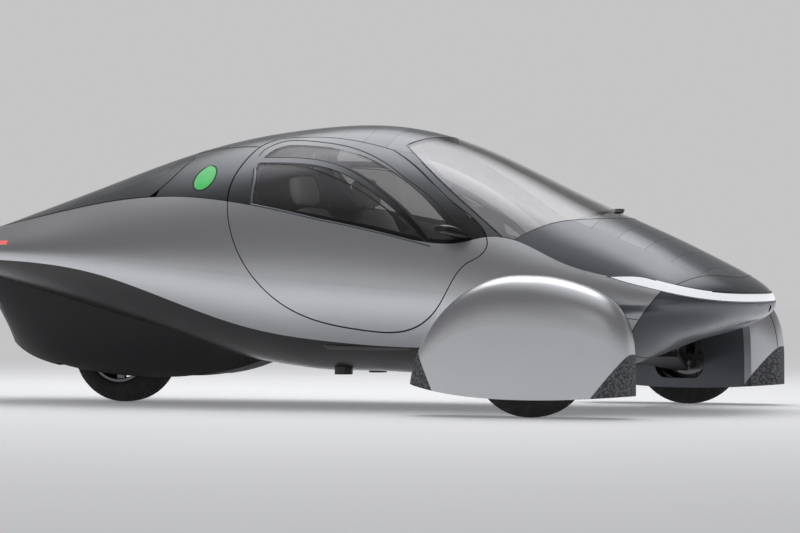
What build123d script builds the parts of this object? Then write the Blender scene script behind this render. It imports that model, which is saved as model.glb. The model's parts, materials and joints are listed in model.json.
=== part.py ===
"""A three wheeled, two seat car with a teardrop body, steered wheel pods and upward opening doors.

Millimetres. +X is forward, +Y the car's left, +Z up; the origin is on the ground under the body's
middle. Pieces named right are made first and mirrored for the left.
"""
from build123d import *
import math
import os

# Wheels and stance
WHEELBASE = 2700
FRONT_AXLE_X = 1460
REAR_AXLE_X = FRONT_AXLE_X - WHEELBASE
TRACK = 1960
TYRE_RADIUS = 280
TYRE_WIDTH = 190
TYRE_CROWN = 14
RIM_RADIUS = 178
RIM_LIP = 12
RIM_WALL = 9
HUB_RADIUS = 44
SPOKE_COUNT = 5
AXLE_PIN_RADIUS = 16
RUNNING_CLEARANCE = 0.05

# Walls and seams
WALL = 45
GLASS = 8
PANEL_GAP = 5
DOOR_HINGE_RADIUS = 60
HATCH_HINGE_RADIUS = 32
HINGE_CLEARANCE = 0.5
PIVOT_CLEARANCE = 0.3

# Lines of the body. Each station: x, top, bottom, half width, height of the widest line,
# then four handles that set how full the section is above and below that line.
BODY_HALF_LENGTH = 2204
BODY_STATIONS = [
    (-2204, 812, 680, 365, 765, 0.60, 0.50, 0.50, 0.60),
    (-1900, 905, 610, 460, 765, 0.55, 0.42, 0.45, 0.60),
    (-1500, 1040, 490, 545, 750, 0.52, 0.38, 0.45, 0.58),
    (-1100, 1172, 370, 610, 725, 0.52, 0.38, 0.45, 0.58),
    (-700, 1288, 270, 660, 690, 0.54, 0.42, 0.45, 0.60),
    (-300, 1360, 205, 685, 650, 0.56, 0.46, 0.48, 0.65),
    (100, 1390, 175, 690, 615, 0.58, 0.48, 0.50, 0.65),
    (500, 1350, 165, 680, 585, 0.58, 0.50, 0.50, 0.65),
    (900, 1210, 165, 660, 555, 0.58, 0.50, 0.50, 0.65),
    (1200, 1070, 175, 635, 535, 0.58, 0.50, 0.50, 0.65),
    (1500, 935, 212, 605, 520, 0.62, 0.50, 0.50, 0.65),
    (1750, 825, 300, 580, 512, 0.64, 0.50, 0.50, 0.65),
    (1950, 725, 362, 553, 512, 0.66, 0.50, 0.50, 0.65),
    (2080, 655, 402, 466, 515, 0.68, 0.50, 0.50, 0.65),
    (2140, 617, 428, 379, 516, 0.68, 0.50, 0.50, 0.65),
    (2175, 588, 450, 288, 517, 0.68, 0.50, 0.50, 0.65),
    (2192, 565, 470, 205, 518, 0.68, 0.50, 0.50, 0.65),
    (BODY_HALF_LENGTH, 532, 500, 79, 518, 0.68, 0.50, 0.50, 0.65),
]
SLIMMEST_CORE = 60

# Seams seen from the side, as x and z
BELT = [(-2300, 850), (-1548, 941), (-1090, 1013), (-574, 1030), (-120, 973), (302, 892), (750, 806), (920, 802),
        (1046, 829), (1417, 711), (1618, 653), (1764, 624), (1930, 592), (2300, 535)]
SILL = [(-2300, 742), (-1676, 723), (-1044, 648), (-481, 468), (-218, 391), (150, 333), (567, 305), (1100, 318),
        (1750, 388), (2300, 430)]
NOSE_SEAM = [(1932, 600), (1896, 544), (1815, 451), (1745, 385), (1685, 321), (1590, 150)]
NOSE_CREASE = 600
WINDSCREEN_SIDE = [(300, 1385), (503, 1269), (738, 1104), (926, 968), (1104, 839), (1300, 690), (1700, 400)]
HATCH_FRONT = [(-700, 1232), (-723, 1180), (-771, 1094), (-830, 1035)]

# Seams seen from above, as x and y
NOSE_ARC = [(1925, -560), (2002, -427), (2047, -287), (2105, 0)]
WINDSCREEN_FOOT = [(1040, -640), (1236, -493), (1343, -385), (1480, -223), (1535, 0)]
WINDSCREEN_HEAD = [(440, -420), (500, -270), (600, 0)]
ROOF_EDGE = [(-760, -152), (-200, -327)]

# Doors: the hinge lies along the roof's edge, inside the wall
DOOR_HINGE_REAR = Vector(-220, -172, 1328)
DOOR_HINGE_FRONT = Vector(440, -282, 1265)
# Door outline from its front hinge corner down and round to its rear one, as distance along the
# hinge and swing radius about it
DOOR_OUTLINE = [(690, DOOR_HINGE_RADIUS), (887, 139), (1106, 265), (1351, 412), (1373, 455), (1357, 518), (1310, 563),
                (1262, 640), (1200, 775), (1071, 877), (763, 934), (565, 938), (395, 915), (158, 784), (22, 618),
                (-49, 465), (-69, 229), (-48, 110), (6, DOOR_HINGE_RADIUS)]

# Windows of the doors, seen from the side
WINDOW_ARCH = [(-242, 1213), (-190, 1272), (-60, 1286), (130, 1268), (351, 1213), (542, 1124), (731, 997),
               (859, 884), (940, 822)]
WINDOW_SILL = [(940, 822), (749, 822), (513, 873), (298, 913), (77, 953), (-162, 990)]
WINDOW_REAR = [(-162, 990), (-235, 1080), (-242, 1213)]
WINDOW_BAR = [(-300, 1212), (-10, 1205), (167, 1178), (300, 1132), (445, 1056), (599, 955), (770, 800)]
WINDOW_BAR_WIDTH = 24

# Tail hatch
HATCH_HINGE_X = -700
HATCH_HINGE_Z = 1262
HATCH_REACH = 1310

# Lamps
LIGHT_BAR_TOP = [(1650, 644), (1754, 647), (1812, 643), (1889, 625), (2008, 596), (2095, 577), (2162, 567), (2260, 562)]
LIGHT_BAR_FOOT = [(1650, 644), (1764, 610), (1873, 585), (1974, 562), (2078, 540), (2153, 527), (2260, 516)]
TAIL_LAMP_TOP = 822
TAIL_LAMP_FOOT = 800
TAIL_LAMP_START = -1650
BADGE_CENTRE = (-533, 1126)
BADGE_RADIUS = 62

# Camera wings on the doors: root, middle and tip sections as x, y, z, half length, half height
WING_SECTIONS = [(958, -540, 812, 46, 16), (930, -600, 832, 40, 12), (896, -660, 858, 52, 22), (872, -716, 868, 30, 14)]

# Rear wheel fairing: x, foot height, foot half width
FAIRING_STATIONS = [
    (-1880, 300, 60),
    (-1700, 215, 130),
    (-1400, 160, 185),
    (-1100, 135, 205),
    (-850, 135, 200),
    (-600, 165, 170),
    (-290, 285, 60),
]
FAIRING_SHOULDER = [(-1900, 690), (-1686, 672), (-1311, 643), (-894, 539), (-522, 403), (-189, 281)]
FAIRING_PAD = [(-1822, 250), (-1850, 640)]
WELL_HALF_WIDTH = 150
WELL_FRONT_X = -700
WELL_REAR_X = -1570
WELL_TOP_Z = 600

# Wheel pods
POD_REAR_X = 853
POD_FRONT_X = 1960
POD_CROWN_Z = 651
POD_FOOT_Z = 60
POD_WALL = 12
POD_OUTER_REACH = 150
POD_INNER_REACH = 190
POD_SLICES = [-86, -74, -60, -44, -28, -12, 6, 24, 42, 58, 72, 82, 88]
POD_REAR_FULLNESS = 1.05
POD_FRONT_FULLNESS = 0.42
POD_PLAN_FULLNESS = 0.7
POD_SIDE = [(1, 0), (1, 0.22), (1, 0.44), (0.985, 0.62), (0.955, 0.86), (0.70, 1), (0, 1)]
POD_FOOT_EDGE = [(700, 190), (853, 150), (1150, 100), (1450, 84), (1750, 90), (2100, 116)]
POD_LINER = 6
POD_LINER_Y = -845
POD_PORT_Z = 240
POD_PORT_LENGTH = 260
POD_PORT_HEIGHT = 216
POD_PORT_CORNER = 60
POD_REAR_PAD = [(700, 40), (1010, 40), (1010, 118), (905, 330), (700, 330), (700, 40)]
POD_FRONT_PAD = [(2100, 40), (1790, 40), (1800, 96), (1962, 300), (2100, 300), (2100, 40)]
KINGPIN_Y = 900

# Suspension: each arm's height at the wheel, then height, distance out and half spread at the body
ARM_THICKNESS = 26
LOWER_ARM = (182, 262, 380, 175)
UPPER_ARM = (316, 392, 460, 130)
ARM_TIP_HALF_WIDTH = 22
ARM_TIP_LENGTH = 40
ARM_EYE_RADIUS = 24
KINGPIN_RADIUS = 22
BRACKET_HALF_LENGTH = 200
BRACKET_FOOT_Z = 218
BRACKET_HEAD_Z = 252
BRACKET_DEPTH = 25
WEB_HALF_LENGTH = 20
SWING_PIVOT = (-800, 330)
SWING_PIVOT_RADIUS = 28
SWING_PLATE = 20
SWING_CLEARANCE = 12
SWING_HALF_HEIGHT = 34

# Cabin
BATTERY_TOP_Z = 268
FLOOR_THICKNESS = 25
LOAD_FLOOR_Z = 600
SEAT_FOOT_Z = BATTERY_TOP_Z + FLOOR_THICKNESS
LOAD_FLOOR_REAR_X = -1900
LOAD_FLOOR_FRONT_X = -330
CABIN_FLOOR_FRONT_X = 1200
BATTERY_BOX = (-560, 1100, -480, 480, 180)
SEAT_Y = -340
SEAT_WIDTH = 420
HEAD_REST_WIDTH = 210
CUSHION_TOP = [(670, SEAT_FOOT_Z), (690, 420), (620, 470), (320, 420), (220, 450)]
BACKREST_FACE = [(220, 450), (140, 640), (50, 860), (15, 985)]
BACKREST_HEAD = [(15, 985), (-25, 1000), (-62, 965)]
BACKREST_REAR = [(-62, 965), (0, 760), (70, 520), (100, SEAT_FOOT_Z)]
HEAD_REST = [(15, 975), (15, 1075), (-5, 1150), (-55, 1155), (-80, 1110), (-62, 968)]
DASHBOARD_TOP = [(780, 560), (740, 700), (780, 800), (910, 830), (1120, 800)]
STEERING_CENTRE = (590, 340, 790)
STEERING_TILT = 62
STEERING_RADIUS = 165
STEERING_GRIP = 14
STEERING_HUB_RADIUS = 38
STEERING_COLUMN_RADIUS = 26
STEERING_COLUMN_LENGTH = 270

# Jacking pads under the floor, and the towing eye's threaded sleeve in the nose with its mouth in a recess
JACK_PADS = [(900, 190), (100, 190)]
JACK_PAD_RADIUS = 45
JACK_PAD_FOOT_Z = 160
JACK_PAD_TOP_Z = 208
TOW_EYE = (2170, 170, 490)
TOW_EYE_RADIUS = 9
TOW_EYE_DEPTH = 100
TOW_SLEEVE_RADIUS = 20
TOW_RECESS_RADIUS = 17

REACH = 1600
SKY = 2000


def spline(points):
    return Spline(*points)


def line(*points):
    return Polyline(*points)


def from_side(*curves):
    """A prism across the whole car from an outline in x and z."""
    return extrude(Plane.XZ * make_face(curves), amount=REACH, both=True)


def from_above(*curves):
    """A tall prism from an outline in x and y."""
    return extrude(Plane.XY * make_face(curves), amount=SKY)


def block(x0, x1, y0, y1, z0, z1):
    return Pos((x0 + x1) / 2, (y0 + y1) / 2, (z0 + z1) / 2) * Box(x1 - x0, y1 - y0, z1 - z0)


def both_sides(points):
    """Points given for the right half, from the side in to the middle, carried over to the left."""
    return points + [(x, -y) for x, y in reversed(points[:-1])]


def mirrored(shape):
    return mirror(shape, about=Plane.XZ)


def largest(shape):
    return max(shape.solids(), key=lambda solid: solid.volume)


def main_solids(shape, count):
    """The few solids that a cut should leave, without slivers."""
    found = sorted(shape.solids(), key=lambda solid: solid.volume)
    return Compound(children=found[-count:])


def body_section(station, inset):
    x, top, foot, half, widest, a, b, c, d = station
    top = top - inset
    foot = foot + inset
    half = half - inset
    right = [
        Bezier((0, top), (a * half, top), (half, widest + b * (top - widest)), (half, widest)),
        Bezier((half, widest), (half, widest - c * (widest - foot)), (d * half, foot), (0, foot)),
    ]
    left = [
        Bezier((0, foot), (-d * half, foot), (-half, widest - c * (widest - foot)), (-half, widest)),
        Bezier((-half, widest), (-half, widest + b * (top - widest)), (-a * half, top), (0, top)),
    ]
    place = Plane((x * (1 - inset / BODY_HALF_LENGTH), 0, 0), x_dir=(0, 1, 0), z_dir=(1, 0, 0))
    return place * make_face(right + left)


def body_solid(inset=0):
    """The body's whole form, or the same form drawn in all round by the inset."""
    stations = [s for s in BODY_STATIONS if s[1] - s[2] > 2 * inset + (SLIMMEST_CORE if inset > GLASS else 0)]
    return loft([body_section(s, inset) for s in stations])


def above(points):
    """All that lies above a side seam."""
    return from_side(spline(points), line(points[-1], (points[-1][0], SKY), (points[0][0], SKY), points[0]))


def windscreen_cut():
    side = above(WINDSCREEN_SIDE)
    head = both_sides(WINDSCREEN_HEAD)
    foot = both_sides(WINDSCREEN_FOOT)
    plan = from_above(spline(head), line(head[-1], foot[-1]), spline(foot), line(foot[0], head[0]))
    return side & plan


def nose_cut():
    """What lies ahead of the nose seam: below the crease by the side seam, above it by the arc."""
    low = from_side(
        spline(NOSE_SEAM),
        line(NOSE_SEAM[-1], (BODY_HALF_LENGTH + 50, NOSE_SEAM[-1][1]), (BODY_HALF_LENGTH + 50, NOSE_CREASE),
             NOSE_SEAM[0]),
    )
    arc = both_sides(NOSE_ARC)
    ahead = from_above(spline(arc), line(arc[-1], (BODY_HALF_LENGTH + 50, arc[-1][1]),
                                         (BODY_HALF_LENGTH + 50, arc[0][1]), arc[0]))
    return low + (ahead & block(1800, BODY_HALF_LENGTH + 50, -700, 700, NOSE_CREASE, 1000))


def door_frame_plane():
    along = (DOOR_HINGE_FRONT - DOOR_HINGE_REAR).normalized()
    return Plane(DOOR_HINGE_REAR, x_dir=along, z_dir=along.cross(Vector(0, 0, -1)))


def drawn_in(points, gap):
    """The same run of points moved to the left of its way by a gap."""
    moved = []
    for before, point, after in zip(points[:1] + points, points, points[1:] + points[-1:]):
        along = Vector(after[0] - before[0], after[1] - before[1]).normalized()
        moved.append((point[0] - gap * along.Y, point[1] + gap * along.X))
    return moved


def door_cut(gap, hinge_radius):
    """The space that the right door fills: its outline turned about the hinge, so it swings free."""
    points = drawn_in(DOOR_OUTLINE, gap)
    points[0] = (points[0][0], hinge_radius)
    points[-1] = (points[-1][0], hinge_radius)
    outline = make_face([spline(points), line(points[-1], points[0])])
    plane = door_frame_plane()
    return revolve(plane * outline, axis=Axis(plane.origin, plane.x_dir * -1), revolution_arc=180)


def hatch_cut(inset, hinge_radius):
    """The space that the hatch fills, round at its hinge and round about it at the tail."""
    hinge = (HATCH_HINGE_X, HATCH_HINGE_Z)
    belt = [p for p in BELT if p[0] < HATCH_FRONT[-1][0]]
    reach = HATCH_REACH - inset
    edge = [(x - inset, z) for x, z in HATCH_FRONT[1:-1]]
    corner = (HATCH_FRONT[-1][0] - inset, height_on(BELT, HATCH_FRONT[-1][0]) + inset)
    whole = from_side(
        line((hinge[0], SKY), (hinge[0], HATCH_FRONT[0][1]), (edge[0][0], edge[0][1])),
        spline(edge + [corner]),
        spline([corner] + [(x, z + inset) for x, z in reversed(belt)]),
        line((belt[0][0], belt[0][1] + inset), (belt[0][0], SKY), (hinge[0], SKY)),
    )
    about = Pos(hinge[0], 0, hinge[1]) * Rot(90, 0, 0)
    swing = about * Cylinder(reach, 2 * REACH)
    barrel = about * Cylinder(hinge_radius, 2 * REACH)
    return (whole & swing) - barrel


def height_on(points, x):
    """Height of a side seam at one place along the car."""
    curve = spline(points)
    low, high = 0.0, 1.0
    for _ in range(30):
        middle = (low + high) / 2
        if (curve @ middle).X < x:
            low = middle
        else:
            high = middle
    return (curve @ low).Y


def band(points, width):
    """A strip of even width that follows a side seam."""
    low = [(x, z - width / 2) for x, z in points]
    high = [(x, z + width / 2) for x, z in points]
    return from_side(spline(low), line(low[-1], high[-1]), spline(list(reversed(high))), line(high[0], low[0]))


def window_cut():
    return from_side(spline(WINDOW_ARCH), spline(WINDOW_SILL), spline(WINDOW_REAR))


def pod_section(angle, inset):
    """One slice of a pod across its length, an upturned U that shrinks towards both ends."""
    swing = math.cos(math.radians(angle))
    crown = POD_CROWN_Z - inset - POD_FOOT_Z
    height = crown * swing ** (POD_FRONT_FULLNESS if angle > 0 else POD_REAR_FULLNESS)
    spread = swing ** POD_PLAN_FULLNESS
    outer, inner = (spread * (reach - inset) for reach in (POD_OUTER_REACH, POD_INNER_REACH))
    points = [(-v * outer, q * height) for v, q in POD_SIDE]
    points += [(v * inner, q * height) for v, q in reversed(POD_SIDE[:-1])]
    arcs = [Bezier(*points[k:k + 4]) for k in range(0, len(points) - 1, 3)]
    face = make_face(arcs + [line(points[-1], points[0])])
    middle = (POD_REAR_X + POD_FRONT_X) / 2
    x = middle + (POD_FRONT_X - middle - inset) * math.sin(math.radians(angle))
    return Plane((x, -TRACK / 2, POD_FOOT_Z), x_dir=(0, 1, 0), z_dir=(1, 0, 0)) * face


def pod_form(inset=0):
    return loft([pod_section(angle, inset) for angle in POD_SLICES])


def pod_pieces():
    """Outer shell, inner liner and corner pads of the right pod."""
    foot = above(POD_FOOT_EDGE)
    outboard = block(POD_REAR_X, POD_FRONT_X, -REACH, POD_LINER_Y, 0, 800)
    core = pod_form(POD_WALL)
    shell = largest((pod_form() & foot & outboard) - core)
    liner_slab = block(POD_REAR_X, POD_FRONT_X, POD_LINER_Y - POD_LINER, POD_LINER_Y, 0, 800)
    port = Pos(FRONT_AXLE_X, POD_LINER_Y, POD_PORT_Z) * Rot(90, 0, 0) * extrude(
        RectangleRounded(POD_PORT_LENGTH, POD_PORT_HEIGHT, POD_PORT_CORNER), amount=80, both=True)
    liner = largest((core & liner_slab & foot) - port)
    rear_pad = from_side(line(*POD_REAR_PAD))
    front_pad = from_side(line(*POD_FRONT_PAD))
    pads = main_solids(shell & (rear_pad + front_pad), 2)
    shell = largest(shell - rear_pad - front_pad)
    return shell, liner, pads


def wheel(y, hub_bore):
    """Tyre and rim with their axis along Y, the dished face to the right."""
    half = TYRE_WIDTH / 2
    tread = TYRE_RADIUS
    profile = make_face([
        line((RIM_RADIUS, -half + 14), (RIM_RADIUS, half - 14)),
        spline([(RIM_RADIUS, half - 14), (RIM_RADIUS + 34, half), (tread - TYRE_CROWN - 12, half - 12)]),
        spline([(tread - TYRE_CROWN - 12, half - 12), (tread - 4, half * 0.62), (tread, 0), (tread - 4, -half * 0.62),
                (tread - TYRE_CROWN - 12, -half + 12)]),
        spline([(tread - TYRE_CROWN - 12, -half + 12), (RIM_RADIUS + 34, -half), (RIM_RADIUS, -half + 14)]),
    ])
    tyre = revolve(profile, axis=Axis.Y, revolution_arc=360)
    inner = RIM_RADIUS - RIM_LIP
    barrel = revolve(make_face([line(
        (RIM_RADIUS, -half + 14), (RIM_RADIUS, half - 14), (inner, half - 14), (inner - 6, half - 40),
        (inner - RIM_WALL, half - 60), (inner - RIM_WALL, -half + 50), (inner, -half + 14),
        (RIM_RADIUS, -half + 14))]), axis=Axis.Y, revolution_arc=360)
    hub = revolve(make_face([line(
        (0, -half + 34), (HUB_RADIUS, -half + 40), (HUB_RADIUS, half - 70), (0, half - 70), (0, -half + 34))]),
        axis=Axis.Y, revolution_arc=360)
    spokes = []
    for k in range(SPOKE_COUNT):
        spoke = make_face([line((-30, HUB_RADIUS - 12), (-20, inner - 4), (20, inner - 4), (30, HUB_RADIUS - 12),
                                (-30, HUB_RADIUS - 12))])
        solid = extrude(Plane((0, -half + 36, 0), x_dir=(1, 0, 0), z_dir=(0, 1, 0)) * spoke, amount=20)
        spokes.append(Rot(0, k * 360 / SPOKE_COUNT, 0) * solid)
    rim = barrel + hub
    for solid in spokes:
        rim = rim + solid
    bore = Rot(90, 0, 0) * Cylinder(hub_bore, 3 * TYRE_WIDTH)
    return tyre, rim - bore


def place_wheel(shape, x, y, flip=False):
    turned = mirrored(shape) if flip else shape
    return Pos(x, y, TYRE_RADIUS) * turned


def knuckle():
    """Upright between the two ball joints, with the stub axle that carries the right wheel."""
    post_foot = LOWER_ARM[0] + ARM_THICKNESS / 2 + PIVOT_CLEARANCE
    post_head = UPPER_ARM[0] - ARM_THICKNESS / 2 - PIVOT_CLEARANCE
    post = Pos(FRONT_AXLE_X, -KINGPIN_Y, (post_foot + post_head) / 2) * Cylinder(KINGPIN_RADIUS, post_head - post_foot)
    stub_end = TRACK / 2 + TYRE_WIDTH / 2 - 45
    stub = Pos(FRONT_AXLE_X, -(KINGPIN_Y + stub_end) / 2, TYRE_RADIUS) * Rot(90, 0, 0) * Cylinder(
        AXLE_PIN_RADIUS, stub_end - KINGPIN_Y)
    inner = POD_LINER_Y - POD_LINER
    bracket = block(FRONT_AXLE_X - BRACKET_HALF_LENGTH, FRONT_AXLE_X + BRACKET_HALF_LENGTH, inner - BRACKET_DEPTH, inner,
                    BRACKET_FOOT_Z, BRACKET_HEAD_Z)
    web = block(FRONT_AXLE_X - WEB_HALF_LENGTH, FRONT_AXLE_X + WEB_HALF_LENGTH, -KINGPIN_Y, inner, BRACKET_FOOT_Z,
                BRACKET_HEAD_Z)
    return post + stub + bracket + web


def suspension_arms(body):
    """Upper and lower wishbones of the right side, from the body out to the ball joints."""
    arms = []
    half = ARM_THICKNESS / 2
    tip = -KINGPIN_Y - ARM_TIP_LENGTH
    level_end = -KINGPIN_Y + ARM_TIP_LENGTH
    for eye_z, root_z, root_y, spread in (LOWER_ARM, UPPER_ARM):
        eye = Pos(FRONT_AXLE_X, -KINGPIN_Y, eye_z) * Cylinder(ARM_EYE_RADIUS, ARM_THICKNESS)
        near, far = FRONT_AXLE_X - ARM_TIP_HALF_WIDTH, FRONT_AXLE_X + ARM_TIP_HALF_WIDTH
        plan = make_face([line((near, -KINGPIN_Y), (far, -KINGPIN_Y), (FRONT_AXLE_X + spread, -root_y),
                               (FRONT_AXLE_X - spread, -root_y), (near, -KINGPIN_Y))])
        slope = Plane.YZ.offset(FRONT_AXLE_X - REACH) * make_face([line(
            (tip, eye_z - half), (level_end, eye_z - half), (-root_y, root_z - half), (-root_y, root_z + half),
            (level_end, eye_z + half), (tip, eye_z + half), (tip, eye_z - half))])
        blade = extrude(plan, amount=SKY) & extrude(slope, amount=2 * REACH)
        arms.append(largest(blade + eye - body))
    return arms


def swing_arm():
    """Fork that carries the rear wheel, with its axle pin and the pivot tube between the well's walls."""
    pivot_x, pivot_z = SWING_PIVOT
    inner = TYRE_WIDTH / 2 + SWING_CLEARANCE
    tall = SWING_HALF_HEIGHT
    rear = REAR_AXLE_X - tall
    outline = make_face([line(
        (rear, TYRE_RADIUS - tall), (REAR_AXLE_X + tall, TYRE_RADIUS - tall), (pivot_x, pivot_z - tall),
        (pivot_x + tall, pivot_z), (pivot_x, pivot_z + tall), (REAR_AXLE_X + tall, TYRE_RADIUS + tall),
        (rear, TYRE_RADIUS + tall), (rear, TYRE_RADIUS - tall))])
    plates = []
    for side in (-1, 1):
        plane = Plane((0, side * inner, 0), x_dir=(1, 0, 0), z_dir=(0, -1, 0))
        plates.append(extrude(plane * outline, amount=-side * SWING_PLATE))
    tube = Pos(pivot_x, 0, pivot_z) * Rot(90, 0, 0) * Cylinder(SWING_PIVOT_RADIUS, 2 * WELL_HALF_WIDTH)
    pin = Pos(REAR_AXLE_X, 0, TYRE_RADIUS) * Rot(90, 0, 0) * Cylinder(AXLE_PIN_RADIUS, 2 * inner + SWING_PLATE)
    return plates[0] + plates[1] + tube + pin


def fairing(body):
    """Keel-like skirt that fairs the rear wheel into the belly."""
    faces = []
    for x, foot, foot_half in FAIRING_STATIONS:
        top = height_on(FAIRING_SHOULDER, x) + 60
        top_half = body_half_width(x) * 0.80
        mid = (foot + top) / 2
        flank = (foot_half + top_half) / 2 + 25
        corner = 0.75 * foot_half
        points = [(corner, foot), (foot_half, foot + 22), (flank, mid), (top_half, top)]
        outline = make_face([
            spline(points),
            line((top_half, top), (-top_half, top)),
            spline([(-y, z) for y, z in reversed(points)]),
            line((-corner, foot), (corner, foot)),
        ])
        faces.append(Plane((x, 0, 0), x_dir=(0, 1, 0), z_dir=(1, 0, 0)) * outline)
    return loft(faces) - body


def body_half_width(x):
    for near, far in zip(BODY_STATIONS, BODY_STATIONS[1:]):
        if near[0] <= x <= far[0]:
            share = (x - near[0]) / (far[0] - near[0])
            return near[3] + share * (far[3] - near[3])
    return BODY_STATIONS[0][3]


def camera_wing(body):
    """Slim wing on the right door that carries the rear view camera."""
    faces = []
    for x, y, z, length, height in WING_SECTIONS:
        faces.append(Plane((x, y, z), x_dir=(1, 0, 0), z_dir=(0, -1, 0)) * Ellipse(length, height))
    return largest(loft(faces) - body)


def tow_rod(radius, near, far):
    """A rod on the towing eye's axis between two distances from the mouth of its thread."""
    return Pos(TOW_EYE[0] + (near + far) / 2, TOW_EYE[1], TOW_EYE[2]) * Rot(0, 90, 0) * Cylinder(radius, far - near)


def seat(y):
    """Cushion, backrest and headrest of one seat as a single moulded form."""
    side = make_face([
        spline(CUSHION_TOP),
        spline(BACKREST_FACE),
        spline(BACKREST_HEAD),
        spline(BACKREST_REAR),
        line(BACKREST_REAR[-1], CUSHION_TOP[0]),
    ])
    rest = make_face([spline(HEAD_REST), line(HEAD_REST[-1], HEAD_REST[0])])
    shapes = []
    for outline, width in ((side, SEAT_WIDTH), (rest, HEAD_REST_WIDTH)):
        plane = Plane((0, y + width / 2, 0), x_dir=(1, 0, 0), z_dir=(0, -1, 0))
        shapes.append(extrude(plane * outline, amount=width))
    return shapes[0] + shapes[1]


def steering_wheel():
    ring = Torus(STEERING_RADIUS, STEERING_GRIP)
    hub = Cylinder(STEERING_HUB_RADIUS, 2 * STEERING_GRIP)
    across = Box(2 * STEERING_RADIUS, 2 * STEERING_GRIP, STEERING_GRIP)
    down = Pos(0, -STEERING_RADIUS / 2, 0) * Box(2 * STEERING_GRIP, STEERING_RADIUS, STEERING_GRIP)
    column = Pos(0, 0, -STEERING_COLUMN_LENGTH / 2) * Cylinder(STEERING_COLUMN_RADIUS, STEERING_COLUMN_LENGTH)
    wheel_form = ring + hub + across + down + column
    return Pos(*STEERING_CENTRE) * Rot(0, -STEERING_TILT, 0) * Rot(0, 0, 90) * wheel_form


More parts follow.
